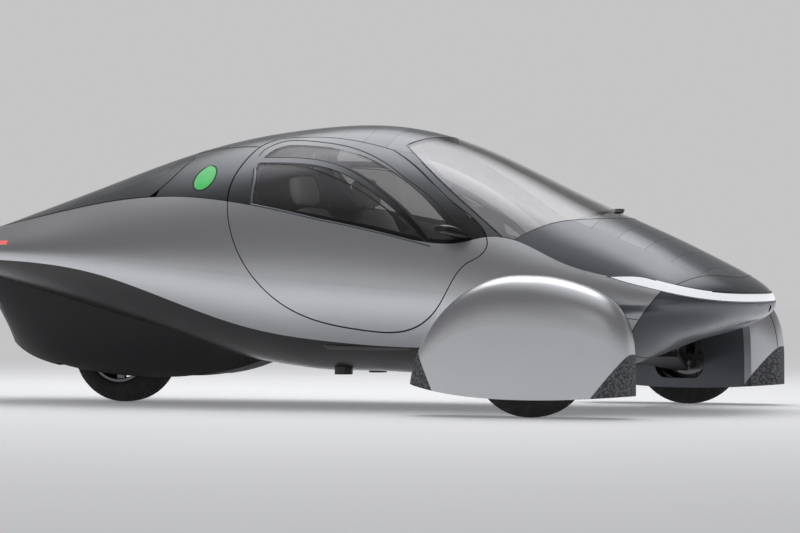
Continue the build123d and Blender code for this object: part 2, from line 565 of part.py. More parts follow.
def main():
    os.makedirs("parts", exist_ok=True)
    parts = {}
    body = body_solid()
    core = body_solid(WALL)
    glass_core = body_solid(GLASS)
    shell = body - core
    skin = body - glass_core

    nose = nose_cut()
    upper = above(BELT)
    lower = above(SILL)
    screen = windscreen_cut()
    door_open = door_cut(0, DOOR_HINGE_RADIUS)
    door_fill = door_cut(PANEL_GAP, DOOR_HINGE_RADIUS + HINGE_CLEARANCE)
    hatch_open = hatch_cut(0, HATCH_HINGE_RADIUS)
    hatch_fill = hatch_cut(PANEL_GAP, HATCH_HINGE_RADIUS + HINGE_CLEARANCE)

    bar = from_side(spline(LIGHT_BAR_TOP), line(LIGHT_BAR_TOP[-1], LIGHT_BAR_FOOT[-1]),
                    spline(list(reversed(LIGHT_BAR_FOOT))))
    tail_band = block(-REACH * 2, TAIL_LAMP_START, -REACH, REACH, TAIL_LAMP_FOOT, TAIL_LAMP_TOP)
    parts["light_bar"] = largest(skin & bar)
    parts["tail_lamp"] = largest(skin & tail_band)

    parts["hatch"] = largest(shell & hatch_fill)
    door = largest(shell & door_fill)
    fixed = shell - door_open - mirrored(door_open) - hatch_open - parts["light_bar"] - parts["tail_lamp"]

    sleeve = tow_rod(TOW_SLEEVE_RADIUS, -TOW_EYE_DEPTH, 0) & body
    recess = tow_rod(TOW_RECESS_RADIUS, 0, TOW_EYE_DEPTH)
    thread = tow_rod(TOW_EYE_RADIUS, -2 * TOW_EYE_DEPTH, TOW_EYE_DEPTH)
    parts["nose_cap"] = largest(fixed & nose) + sleeve - recess - thread
    fixed = fixed - nose
    high = fixed & upper
    low = fixed - upper
    well = block(WELL_REAR_X, WELL_FRONT_X, -WELL_HALF_WIDTH, WELL_HALF_WIDTH, 0, WELL_TOP_Z)
    tub = largest(low - lower - well)
    pads = [Pos(x, side * y, (JACK_PAD_FOOT_Z + JACK_PAD_TOP_Z) / 2)
            * Cylinder(JACK_PAD_RADIUS, JACK_PAD_TOP_Z - JACK_PAD_FOOT_Z) for x, y in JACK_PADS for side in (-1, 1)]
    for pad in pads:
        tub = tub + pad
    parts["belly"] = tub
    silver = low & lower
    tail_end = block(-BODY_HALF_LENGTH - 50, -2090, -REACH, REACH, 0, SKY)
    parts["tail_panel"] = largest(silver & tail_end)
    silver = silver - tail_end
    front_half = block(400, BODY_HALF_LENGTH, -REACH, 0, 0, SKY)
    rear_half = block(-BODY_HALF_LENGTH, 400, -REACH, 0, 0, SKY)
    parts["fender_right"] = largest(silver & front_half)
    parts["quarter_right"] = largest(silver & rear_half)

    parts["windscreen"] = largest(skin & screen & upper)
    high = high - screen
    foot = both_sides(WINDSCREEN_FOOT)
    bonnet_cut = from_above(spline(foot), line(foot[-1], (foot[-1][0], REACH), (3000, REACH), (3000, -REACH),
                                               (foot[0][0], -REACH), foot[0]))
    parts["hood"] = largest(high & bonnet_cut)
    high = high - bonnet_cut
    pillar_cut = from_above(line(ROOF_EDGE[0], ROOF_EDGE[1], (100, -REACH), (-900, -REACH), ROOF_EDGE[0]))
    pillar = largest(high & pillar_cut & block(-900, 0, -REACH, 0, 900, SKY))
    disc = Pos(BADGE_CENTRE[0], -REACH / 2, BADGE_CENTRE[1]) * Rot(90, 0, 0) * Cylinder(BADGE_RADIUS, REACH)
    lamp = largest(skin & disc)
    parts["rear_pillar_right"] = largest(pillar - lamp)
    parts["pillar_lamps"] = Compound(children=[lamp, mirrored(lamp)])
    parts["roof"] = largest(high - pillar_cut - mirrored(pillar_cut))

    frame = door & upper
    window = window_cut()
    opening = window - band(WINDOW_BAR, WINDOW_BAR_WIDTH)
    parts["door_frame_right"] = largest(frame - opening)
    parts["door_skin_right"] = largest(door - upper)
    parts["door_glass_right"] = main_solids((skin & door_fill & upper) & opening, 2)

    parts["camera_wing_right"] = camera_wing(body)

    for name in ("fender", "quarter", "rear_pillar", "door_frame", "door_skin", "door_glass", "camera_wing"):
        parts[name + "_left"] = mirrored(parts[name + "_right"])

    shell_piece, liner, pads = pod_pieces()
    parts["pod_right"] = shell_piece
    parts["pod_liner_right"] = liner
    parts["pod_pads_right"] = pads
    parts["knuckle_right"] = knuckle()
    for name in ("pod", "pod_liner", "pod_pads", "knuckle"):
        parts[name + "_left"] = mirrored(parts[name + "_right"])

    tyre, rim = wheel(0, AXLE_PIN_RADIUS + RUNNING_CLEARANCE)
    half_track = TRACK / 2
    parts["tyre_front_right"] = place_wheel(tyre, FRONT_AXLE_X, -half_track)
    parts["rim_front_right"] = place_wheel(rim, FRONT_AXLE_X, -half_track)
    parts["tyre_front_left"] = place_wheel(tyre, FRONT_AXLE_X, half_track, True)
    parts["rim_front_left"] = place_wheel(rim, FRONT_AXLE_X, half_track, True)
    parts["tyre_rear"] = place_wheel(tyre, REAR_AXLE_X, 0)
    parts["rim_rear"] = place_wheel(rim, REAR_AXLE_X, 0)

    arms = suspension_arms(body)
    parts["front_arms"] = Compound(children=arms + [mirrored(a) for a in arms])
    parts["swing_arm"] = swing_arm()
    keel = largest(fairing(body) - well)
    behind = from_side(line(FAIRING_PAD[0], FAIRING_PAD[1], (-2000, 640), (-2000, 250), FAIRING_PAD[0]))
    parts["fairing_pad"] = largest(keel & behind)
    parts["rear_fairing"] = largest(keel - behind)

    parts["load_floor"] = largest(core & block(LOAD_FLOOR_REAR_X, LOAD_FLOOR_FRONT_X, -REACH, REACH, LOAD_FLOOR_Z,
                                               LOAD_FLOOR_Z + FLOOR_THICKNESS))
    parts["cabin_floor"] = largest(core & block(LOAD_FLOOR_FRONT_X, CABIN_FLOOR_FRONT_X, -REACH, REACH, BATTERY_TOP_Z,
                                                SEAT_FOOT_Z))
    parts["battery"] = largest(core & block(*BATTERY_BOX, BATTERY_TOP_Z))
    door_room = door_open - body_solid(WALL + PANEL_GAP)
    parts["seat_right"] = largest((core & seat(SEAT_Y)) - door_room)
    parts["seat_left"] = mirrored(parts["seat_right"])
    dash_rear, dash_front = DASHBOARD_TOP[0], DASHBOARD_TOP[-1]
    dash = from_side(spline(DASHBOARD_TOP), line(dash_front, (dash_front[0], dash_rear[1]), dash_rear))
    parts["dashboard"] = largest((core & dash) - door_room - mirrored(door_room))
    parts["steering_wheel"] = largest(steering_wheel() - parts["dashboard"])

    for name, shape in parts.items():
        export_step(shape if isinstance(shape, Compound) else Compound(children=[shape]), f"parts/{name}.step")


main()
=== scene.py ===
"""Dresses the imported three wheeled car: paint, glass, lamps, tyres, seats and fittings, on a studio floor."""

import json
import math

import bpy
from bpy.props import FloatProperty, FloatVectorProperty, IntProperty, PointerProperty
from mathutils import Matrix, Vector
from mathutils.bvhtree import BVHTree

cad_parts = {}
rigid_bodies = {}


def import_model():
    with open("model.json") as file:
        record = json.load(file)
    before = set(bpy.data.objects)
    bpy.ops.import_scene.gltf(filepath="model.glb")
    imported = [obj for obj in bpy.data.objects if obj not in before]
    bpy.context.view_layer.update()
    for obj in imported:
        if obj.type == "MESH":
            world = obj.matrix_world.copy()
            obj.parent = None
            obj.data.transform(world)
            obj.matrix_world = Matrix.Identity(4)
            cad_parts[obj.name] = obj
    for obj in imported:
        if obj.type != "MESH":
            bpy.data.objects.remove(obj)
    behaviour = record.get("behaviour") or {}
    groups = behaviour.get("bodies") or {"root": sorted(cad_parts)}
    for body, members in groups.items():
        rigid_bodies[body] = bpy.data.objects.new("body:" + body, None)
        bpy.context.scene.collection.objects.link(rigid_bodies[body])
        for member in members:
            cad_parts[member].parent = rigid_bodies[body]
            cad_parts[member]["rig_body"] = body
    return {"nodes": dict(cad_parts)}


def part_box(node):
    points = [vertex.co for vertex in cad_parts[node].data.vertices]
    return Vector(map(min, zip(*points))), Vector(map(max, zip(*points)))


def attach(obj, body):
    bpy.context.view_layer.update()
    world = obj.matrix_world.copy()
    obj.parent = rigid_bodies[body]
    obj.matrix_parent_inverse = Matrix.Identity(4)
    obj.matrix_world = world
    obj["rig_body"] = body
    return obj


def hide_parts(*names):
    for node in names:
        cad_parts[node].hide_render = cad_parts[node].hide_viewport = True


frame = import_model()
NODES = frame["nodes"]
SIDES = {"right": -1, "left": 1}
WHEELS = {"front_right": -1, "front_left": 1, "rear": -1}
WHEEL_RADIUS = 0.28

CAMERA_PLACE = (8.396, -16.642, 0.69)
CAMERA_AIM = (-0.4368, 0.8996, 0)
FLOOR_REACH = 45.0

# Lines on the side of the body, as (x, z).
WINDOW_ARCH = [(-0.275, 1.233), (-0.256, 1.274), (-0.163, 1.309), (0.03, 1.3), (0.239, 1.266), (0.424, 1.199),
               (0.582, 1.109), (0.721, 1.026), (0.888, 0.896)]
LOWER_PANE = [(-0.253, 1.193), (-0.14, 1.191), (0.033, 1.174), (0.212, 1.122), (0.383, 1.048), (0.558, 0.945),
              (0.67, 0.868), (0.76, 0.806)]
BELT_LINE = [(-0.205, 0.992), (-0.017, 0.958), (0.171, 0.918), (0.378, 0.879), (0.58, 0.835), (0.778, 0.787)]
WINDOW_POST = [(-0.256, 1.17), (-0.232, 1.112), (-0.219, 1.053), (-0.206, 0.998)]
FENDER_SEAM = [(1.735, 0.451), (1.83, 0.441)]

# Seats: how far each stands from the middle, and the spines of its pads, as (x, z).
SEAT_ACROSS = 0.34
CUSHION = [(0.17, 0.385), (0.35, 0.375), (0.53, 0.41), (0.655, 0.425)]
BACKREST = [(-0.015, 0.975), (0.05, 0.80), (0.115, 0.60), (0.155, 0.43)]
HEAD_REST = [(-0.056, 1.13), (-0.038, 1.05), (-0.022, 0.99)]
HEAD_POST = [(-0.005, 0.93), (-0.022, 0.99), (-0.035, 1.03)]
RAIL_BACK = 0.17
RAIL_LENGTH = 0.44

bl_info = {
    "name": "Three wheeled car",
    "version": (1, 0, 0),
    "blender": (4, 5, 0),
    "location": "View3D > Sidebar > Car",
    "description": "Paint, glass, lamps, tyres, seats and fittings of a three wheeled car",
    "category": "Object",
}


class Wire:
    """A socket in a node tree. Arithmetic on it adds Math nodes; node() adds any other node."""

    def __init__(self, tree, socket):
        self.tree = tree
        self.socket = socket

    def node(self, kind, settings=None, inputs=None, output=0):
        made = self.tree.nodes.new("ShaderNode" + kind)
        for name, value in (settings or {}).items():
            if name == "stops":
                elements = made.color_ramp.elements
                while len(elements) < len(value):
                    elements.new(1.0)
                for element, (place, colour) in zip(elements, value):
                    element.position = place
                    element.color = (*colour, 1)
            else:
                setattr(made, name, value)
        for key, value in (inputs or {}).items():
            if isinstance(value, Wire):
                self.tree.links.new(value.socket, made.inputs[key])
            elif value is not None:
                made.inputs[key].default_value = value
        return Wire(self.tree, made.outputs[output])

    def maths(self, operation, *values):
        return self.node("Math", {"operation": operation}, dict(enumerate(values)))

    def __add__(self, other):
        return self.maths("ADD", self, other)

    def __radd__(self, other):
        return self.maths("ADD", other, self)

    def __sub__(self, other):
        return self.maths("SUBTRACT", self, other)

    def __rsub__(self, other):
        return self.maths("SUBTRACT", other, self)

    def __mul__(self, other):
        return self.maths("MULTIPLY", self, other)

    def __rmul__(self, other):
        return self.maths("MULTIPLY", other, self)

    def __truediv__(self, other):
        return self.maths("DIVIDE", self, other)

    def __abs__(self):
        return self.maths("ABSOLUTE", self)

    def fraction(self):
        return self.maths("FRACT", self)

    def floor(self):
        return self.maths("FLOOR", self)

    def over(self, threshold):
        return self.maths("GREATER_THAN", self, threshold)

    def sine(self):
        return self.maths("SINE", self)

    def larger(self, other):
        return self.maths("MAXIMUM", self, other)

    def ramp(self, low, high, to_low=0.0, to_high=1.0):
        """The value carried from one range to another, held at its ends."""
        return self.node("MapRange", {"clamp": True}, {0: self, 1: low, 2: high, 3: to_low, 4: to_high})

    def split(self):
        """The three parts of a vector."""
        return [self.node("SeparateXYZ", None, {0: self}, axis) for axis in range(3)]

    def noise(self, scale, detail=2.0, roughness=0.5, stretch=None):
        """Noise at a scale given in cycles a metre, from 0 to 1."""
        where = self
        if stretch:
            where = self.node("VectorMath", {"operation": "MULTIPLY"}, {0: self, 1: stretch})
        return self.node("TexNoise", None, {"Vector": where, "Scale": scale, "Detail": detail,
                                            "Roughness": roughness})

    def cells(self, scale, feature="F1"):
        return self.node("TexVoronoi", {"feature": feature}, {"Vector": self, "Scale": scale})

    def blend(self, low, high):
        """A colour between two, by this value."""
        return self.node("Mix", {"data_type": "RGBA"}, {0: self, 6: low, 7: high}, 2)


class Finish:
    """A material being made: its surface shader, and wires that start from the object's own coordinates."""

    def __init__(self, name, colour, roughness, **constants):
        self.material = bpy.data.materials.new(name)
        self.material.use_nodes = True
        self.tree = self.material.node_tree
        self.shader = self.tree.nodes["Principled BSDF"]
        self.set("Base Color", (*colour, 1))
        self.set("Roughness", roughness)
        for key, value in constants.items():
            self.set(key.replace("_", " "), value)
        self.place = Wire(self.tree, self.tree.nodes.new("ShaderNodeTexCoord").outputs["Object"])

    def set(self, socket, value):
        if isinstance(value, Wire):
            self.tree.links.new(value.socket, self.shader.inputs[socket])
        else:
            self.shader.inputs[socket].default_value = value

    def bump(self, height, depth, strength=1.0):
        """Relief whose height runs from 0 to a depth in metres."""
        self.set("Normal", self.place.node("Bump", None, {
            "Strength": strength, "Distance": depth, "Height": height}))

    def dress(self, *names):
        """Puts this finish on CAD nodes and on pieces."""
        for name in names:
            obj = NODES.get(name) or bpy.data.objects[name]
            obj.data.materials.clear()
            obj.data.materials.append(self.material)


FINISHES = {}


def finish(name, make):
    """The finish of that name, made the first time that it is asked for."""
    if name not in FINISHES:
        FINISHES[name] = make(name)
    return FINISHES[name]


def rgb(value):
    """The three parts of a colour setting."""
    return tuple(value)[:3]


def shades(colour, low, high):
    """A colour darker and lighter, as stops of a blend."""
    return [(*(min(1.0, part * share) for part in colour), 1) for share in (low, high)]


def satin_paint(name):
    """Silver paint with a fine flake under a thin clear coat."""
    colour = rgb(bpy.context.scene.car_paint.silver)
    made = Finish(name, colour, 0.3, Metallic=1.0, Coat_Weight=0.12, Coat_Roughness=0.2)
    flake = made.place.cells(1400.0)
    cloud = made.place.noise(2.2, 3.0)
    made.set("Base Color", (cloud * 0.6 + flake * 0.4).blend(*shades(colour, 0.94, 1.06)))
    made.set("Roughness", made.place.noise(900.0).ramp(0.3, 0.7, 0.28, 0.36))
    made.bump(flake, 0.00002, 0.3)
    return made


def charcoal_gloss(name, painted_reflection_fade=None):
    """Dark grey gloss paint, which may carry a painted dark reflection: black below one height, turning to the
    paint's own tone by another.
    """
    colour = rgb(bpy.context.scene.car_paint.charcoal)
    made = Finish(name, colour, 0.3, Metallic=0.75, Coat_Weight=0.55, Coat_Roughness=0.1)
    flake = made.place.noise(1500.0)
    tone = flake.blend(*shades(colour, 0.8, 1.25))
    if painted_reflection_fade:
        # Painted dark reflection: black below the lower height, fading to the paint's own tone by the upper
        # one.
        tone = made.place.split()[2].ramp(*painted_reflection_fade).blend((0.012, 0.012, 0.013, 1), tone)
    made.set("Base Color", tone)
    made.set("Roughness", made.place.noise(2.5, 3.0).ramp(0.3, 0.7, 0.27, 0.35))
    made.bump(flake, 0.00002, 0.15)
    return made


def pillar_gloss(name):
    """Charcoal gloss with a painted dark reflection that turns it black towards the belt line."""
    return charcoal_gloss(name, painted_reflection_fade=(0.92, 1.16))


def solar_gloss(name):
    """Charcoal gloss over square solar cells along the middle, each a slightly different shade."""
    paint = bpy.context.scene.car_paint
    colour = rgb(paint.charcoal)
    made = Finish(name, colour, 0.3, Metallic=0.75, Coat_Weight=0.55, Coat_Roughness=0.08)
    along, across, _ = made.place.split()
    column = along / paint.cell_pitch
    row = across / paint.cell_pitch + 0.5
    gap_along = abs(column.fraction() - 0.5)
    gap_across = abs(row.fraction() - 0.5)
    panel = 1.0 - abs(across).over(paint.cell_pitch * 2.5)
    joint = gap_along.larger(gap_across).over(0.488).larger((gap_along + gap_across).over(0.93)) * panel
    square = made.place.node("CombineXYZ", None, {0: column.floor(), 1: row.floor()})
    shade = made.place.node("TexWhiteNoise", {"noise_dimensions": "2D"}, {"Vector": square}) * panel
    finger = abs((across * 310.0).fraction() - 0.5).over(0.44) * panel
    cell = (shade * 0.7 + 0.15).blend(*shades(colour, 0.72, 1.45))
    lined = (finger * 0.05).blend(cell, (0.2, 0.22, 0.26, 1))
    made.set("Base Color", (joint * 0.6).blend(lined, (0.008, 0.008, 0.009, 1)))
    made.set("Roughness", shade.ramp(0.0, 1.0, 0.27, 0.33) + joint * 0.08)
    made.bump(1.0 - joint, 0.00005, 0.15)
    return made


def gloss_black(name):
    """Black skin of the belly."""
    made = Finish(name, (0.006, 0.006, 0.007), 0.3, Coat_Weight=0.25, Coat_Roughness=0.12)
    made.set("Roughness", made.place.noise(4.0, 4.0).ramp(0.3, 0.7, 0.26, 0.36))
    made.bump(made.place.noise(60.0), 0.00003, 0.15)
    return made


def matt_shell(name):
    """Moulded black composite with a fine grain."""
    made = Finish(name, (0.011, 0.011, 0.012), 0.62)
    made.set("Specular IOR Level", 0.35)
    grain = made.place.noise(700.0, 3.0, 0.6)
    cloud = made.place.noise(3.0, 3.0)
    made.set("Base Color", cloud.blend(*shades((0.011, 0.011, 0.0125), 0.75, 1.25)))
    made.set("Roughness", grain.ramp(0.3, 0.7, 0.5, 0.7))
    made.bump(grain, 0.00025, 0.5)
    return made


def speckled(name):
    """Dark recycled composite with pale specks."""
    made = Finish(name, (0.05, 0.05, 0.054), 0.72)
    speck = made.place.noise(95.0, 2.0, 0.7).ramp(0.44, 0.62)
    fine = made.place.noise(330.0, 2.0)
    tone = speck * 0.7 + fine * 0.3
    made.set("Base Color", tone.blend((0.018, 0.018, 0.02, 1), (0.2, 0.205, 0.215, 1)))
    made.set("Roughness", fine.ramp(0.3, 0.7, 0.6, 0.85))
    made.bump(tone, 0.0012, 0.6)
    return made


def clear_glass(name, share, mirror):
    """Thin glass seen through from both sides: a share of it acts as a dark or a bright mirror."""
    made = Finish(name, (mirror, mirror, mirror * 1.03), 0.04, Alpha=share, Metallic=1.0)
    made.set("Roughness", made.place.noise(1.6, 2.0).ramp(0.3, 0.7, 0.02, 0.06))
    return made


def side_glass(name):
    """Dark glass of the doors."""
    return clear_glass(name, bpy.context.scene.car_paint.glass_tint * 0.8, 0.22)


def screen_glass(name):
    """Bright glass of the windscreen."""
    return clear_glass(name, bpy.context.scene.car_paint.glass_tint, 0.4)


def white_light(name):
    """Ribbed white lens of the light bar."""
    strength = bpy.context.scene.car_lamps.front_strength
    made = Finish(name, (0.3, 0.31, 0.33), 0.2, Emission_Strength=strength, Coat_Weight=0.3)
    _, across, _ = made.place.split()
    ribs = abs((across * 170.0).fraction() - 0.5) * 2.0
    made.set("Emission Color", ribs.blend((0.82, 0.87, 0.93, 1), (1.0, 1.0, 1.0, 1)))
    made.bump(ribs, 0.0006, 0.3)
    return made


def red_light(name):
    """Ribbed red lens of the tail lamp."""
    strength = bpy.context.scene.car_lamps.tail_strength
    made = Finish(name, (0.5, 0.06, 0.055), 0.12, Emission_Strength=strength, Coat_Weight=0.8)
    along, across, _ = made.place.split()
    ribs = abs(((along + across) * 140.0).fraction() - 0.5) * 2.0
    made.set("Emission Color", ribs.blend((0.6, 0.1, 0.09, 1), (0.9, 0.25, 0.22, 1)))
    made.bump(ribs, 0.0006, 0.3)
    return made


def green_light(name):
    """Plain green lens of the pillar discs."""
    strength = bpy.context.scene.car_lamps.disc_strength
    made = Finish(name, (0.02, 0.3, 0.06), 0.15, Emission_Strength=strength, Coat_Weight=0.7)
    cloud = made.place.noise(30.0, 1.0)
    made.set("Emission Color", cloud.blend((0.03, 0.55, 0.1, 1), (0.06, 0.75, 0.16, 1)))
    return made


def coated_metal(name):
    """Black coated castings and tubes."""
    made = Finish(name, (0.035, 0.035, 0.038), 0.45, Metallic=0.6)
    skin = made.place.noise(420.0, 3.0, 0.6)
    made.set("Base Color", made.place.noise(9.0, 3.0).blend(*shades((0.04, 0.04, 0.043), 0.7, 1.5)))
    made.set("Roughness", skin.ramp(0.3, 0.7, 0.38, 0.56))
    made.bump(skin, 0.0003, 0.4)
    return made


def rim_metal(name):
    """Dark turned alloy of the wheels and window posts."""
    made = Finish(name, (0.16, 0.165, 0.175), 0.32, Metallic=1.0)
    brush = made.place.noise(260.0, 2.0, 0.5)
    made.set("Base Color", brush.blend((0.1, 0.1, 0.11, 1), (0.26, 0.265, 0.28, 1)))
    made.set("Roughness", brush.ramp(0.3, 0.7, 0.26, 0.4))
    made.bump(brush, 0.00008, 0.3)
    return made


def disc_steel(name):
    """Scored steel of the brake discs."""
    made = Finish(name, (0.45, 0.45, 0.46), 0.3, Metallic=1.0)
    score = made.place.noise(340.0, 2.0)
    made.set("Roughness", score.ramp(0.3, 0.7, 0.22, 0.42))
    made.set("Base Color", made.place.noise(20.0, 3.0).blend((0.36, 0.35, 0.34, 1), (0.55, 0.55, 0.56, 1)))
    made.bump(score, 0.0001, 0.4)
    return made


def rubber(name):
    """Tyre rubber with some dust."""
    made = Finish(name, (0.016, 0.016, 0.017), 0.78)
    dust = made.place.noise(26.0, 4.0, 0.6)
    fine = made.place.noise(900.0, 2.0)
    made.set("Base Color", dust.ramp(0.45, 0.75).blend((0.013, 0.013, 0.014, 1), (0.035, 0.034, 0.033, 1)))
    made.set("Roughness", fine.ramp(0.3, 0.7, 0.7, 0.88))
    made.bump(fine, 0.0002, 0.4)
    return made


def seal_rubber(name):
    """Black rubber of seams, wiper and buckles."""
    made = Finish(name, (0.008, 0.008, 0.009), 0.55)
    fine = made.place.noise(1200.0, 2.0)
    made.set("Roughness", fine.ramp(0.3, 0.7, 0.45, 0.65))
    made.bump(fine, 0.0001, 0.3)
    return made


def trim(name):
    """Moulded cabin plastic, soft grey with a leather grain."""
    made = Finish(name, (0.09, 0.09, 0.095), 0.6)
    grain = made.place.cells(420.0, "DISTANCE_TO_EDGE").ramp(0.0, 0.25)
    made.set("Base Color", made.place.noise(5.0, 3.0).blend(*shades((0.095, 0.093, 0.092), 0.8, 1.2)))
    made.set("Roughness", grain.ramp(0.0, 1.0, 0.7, 0.52))
    made.bump(grain, 0.00035, 0.5)
    return made


def accent_trim(name):
    """Terracotta soft trim."""
    colour = rgb(bpy.context.scene.car_cabin.accent)
    made = Finish(name, colour, 0.6)
    grain = made.place.cells(420.0, "DISTANCE_TO_EDGE").ramp(0.0, 0.25)
    made.set("Base Color", made.place.noise(7.0, 3.0).blend(*shades(colour, 0.85, 1.15)))
    made.set("Roughness", grain.ramp(0.0, 1.0, 0.72, 0.56))
    made.bump(grain, 0.00035, 0.5)
    return made


def carpet(name):
    """Dark tufted carpet."""
    made = Finish(name, (0.03, 0.03, 0.032), 0.95)
    tuft = made.place.noise(420.0, 4.0, 0.7)
    made.set("Base Color", tuft.blend((0.015, 0.015, 0.016, 1), (0.06, 0.06, 0.064, 1)))
    made.bump(tuft, 0.0025, 0.8)
    return made


def case_metal(name):
    """Light metal of battery and callipers."""
    made = Finish(name, (0.4, 0.4, 0.41), 0.42, Metallic=0.9)
    skin = made.place.noise(180.0, 3.0, 0.5, (1.0, 0.1, 1.0))
    made.set("Roughness", skin.ramp(0.3, 0.7, 0.36, 0.5))
    made.bump(skin, 0.0001, 0.3)
    return made


def seat_cloth(name):
    """Pale woven cloth: crossed ribs about 2.4 mm apart, with slubs."""
    colour = rgb(bpy.context.scene.car_cabin.cloth)
    made = Finish(name, colour, 0.88, Sheen_Weight=0.3, Sheen_Roughness=0.5)
    _, across, up = made.place.split()
    warp = (across * 2600.0).sine()
    weft = (up * 2600.0).sine()
    weave = (warp * weft).ramp(-1.0, 1.0)
    slub = made.place.noise(140.0, 3.0, 0.6)
    made.set("Base Color", (weave * 0.35 + slub * 0.65).blend(*shades(colour, 0.72, 1.12)))
    made.set("Roughness", slub.ramp(0.3, 0.7, 0.82, 0.95))
    made.bump(weave * 0.7 + slub * 0.3, 0.0006, 0.6)
    return made


def screen_face(name):
    """Polished face of the screen and lenses."""
    made = Finish(name, (0.01, 0.011, 0.013), 0.08, Coat_Weight=1.0, Coat_Roughness=0.02)
    made.set("Roughness", made.place.noise(14.0, 3.0).ramp(0.3, 0.7, 0.06, 0.16))
    return made


def add_piece(name, vertices, faces, body, surface, sharp=40):
    """A mesh object that rides on a body, smooth but for edges sharper than an angle in degrees."""
    mesh = bpy.data.meshes.new(name)
    mesh.from_pydata([tuple(v) for v in vertices], [], faces)
    mesh.validate()
    mesh.shade_smooth()
    mesh.set_sharp_from_angle(angle=math.radians(sharp))
    obj = bpy.data.objects.new(name, mesh)
    bpy.context.scene.collection.objects.link(obj)
    mesh.materials.append(surface.material)
    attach(obj, body)
    return obj


class Build:
    """Vertices and faces gathered from several forms that make one piece."""

    def __init__(self):
        self.vertices = []
        self.faces = []

    def rows(self, rows, ring=False):
        """A skin through closed rows of points, capped at both ends or joined into a ring."""
        start = len(self.vertices)
        count = len(rows[0])
        for row in rows:
            self.vertices.extend(Vector(p) for p in row)
        for i in range(len(rows) if ring else len(rows) - 1):
            near = start + i * count
            far = start + (i + 1) % len(rows) * count
            for j in range(count):
                k = (j + 1) % count
                self.faces.append((near + j, near + k, far + k, far + j))
        if not ring:
            last = start + (len(rows) - 1) * count
            self.faces.append(tuple(reversed(range(start, start + count))))
            self.faces.append(tuple(range(last, last + count)))

    def turned(self, profile, segments, centre, axis="Y", shape=None):
        """A profile of (radius, along) turned about an axis through a centre."""
        rows = []
        for i in range(segments):
            angle = 2 * math.pi * i / segments
            row = []
            for radius, along in profile:
                reach = radius - (shape(i, along) if shape else 0.0)
                across, up = reach * math.cos(angle), reach * math.sin(angle)
                point = (across, along, up) if axis == "Y" else (across, up, along)
                row.append(Vector(centre) + Vector(point))
            rows.append(row)
        self.rows(rows, ring=True)

    def box(self, centre, size, turn=None, edge=0.15):
        """A block with chamfered edges."""
        half = Vector(size) / 2
        cut = edge * min(half)
        turn = turn or Matrix.Identity(3)
        outline = [(1, 1), (-1, 1), (-1, -1), (1, -1)]
        rows = []
        for z, draw in ((-half.z, cut), (-half.z + cut, 0.0), (half.z - cut, 0.0), (half.z, cut)):
            row = []
            for sx, sy in outline:
                x, y = half.x - draw, half.y - draw
                ends = [(sx * x, sy * (y - cut)), (sx * (x - cut), sy * y)]
                row.extend(ends if sx * sy > 0 else reversed(ends))
            rows.append([Vector(centre) + turn @ Vector((px, py, z)) for px, py in row])
        self.rows(rows)

    def tube(self, path, radius, segments=12):
        """A round bar along a run of points."""
        points = [Vector(p) for p in path]
        rows = []
        for i, point in enumerate(points):
            ahead = (points[min(i + 1, len(points) - 1)] - points[max(i - 1, 0)]).normalized()
            side = ahead.cross(Vector((0, 0, 1)))
            side = side.normalized() if side.length > 1e-4 else Vector((0, 1, 0))
            up = side.cross(ahead)
            reach = radius(i / (len(points) - 1)) if callable(radius) else radius
            rows.append([point + reach * (math.cos(t) * side + math.sin(t) * up)
                         for t in (2 * math.pi * j / segments for j in range(segments))])
        self.rows(rows)

    def piece(self, name, body, surface, sharp=40):
        return add_piece(name, self.vertices, self.faces, body, surface, sharp)


def smooth_run(points, count):
    """Points spread along a smooth line through given ones."""
    points = [Vector(p) for p in points]
    ends = [2 * points[0] - points[1]] + points + [2 * points[-1] - points[-2]]
    run = []
    for i in range(count):
        place = i / (count - 1) * (len(points) - 1)
        k = min(int(place), len(points) - 2)
        t = place - k
        a, b, c, d = ends[k:k + 4]
        run.append(0.5 * (2 * b + (c - a) * t + (2 * a - 5 * b + 4 * c - d) * t * t
                          + (3 * b - a - 3 * c + d) * t ** 3))
    return run


def surface_of(*names):
    """Something to cast rays at, made of CAD nodes."""
    vertices, faces = [], []
    for name in names:
        mesh = NODES[name].data
        start = len(vertices)
        vertices.extend(v.co.copy() for v in mesh.vertices)
        faces.extend([start + i for i in p.vertices] for p in mesh.polygons)
    return BVHTree.FromPolygons(vertices, faces)


def laid_on(tree, points, direction):
    """Points carried along a direction onto a surface, each with the surface's normal there."""
    found = []
    for point in points:
        hit, normal, _, _ = tree.ray_cast(Vector(point), Vector(direction))
        if hit is not None:
            found.append((hit, normal if normal.dot(Vector(direction)) < 0 else -normal))
    return found


def seam(build, laid, width, proud=0.0012):
    """A narrow low ridge along points that lie on a surface."""
    rows = []
    for i, (point, normal) in enumerate(laid):
        ahead = (laid[min(i + 1, len(laid) - 1)][0] - laid[max(i - 1, 0)][0]).normalized()
        side = ahead.cross(normal).normalized() * width / 2
        rows.append([point - side - normal * 0.001, point - side * 0.6 + normal * proud,
                     point + side * 0.6 + normal * proud, point + side - normal * 0.001])
    if len(rows) > 1:
        build.rows(rows)


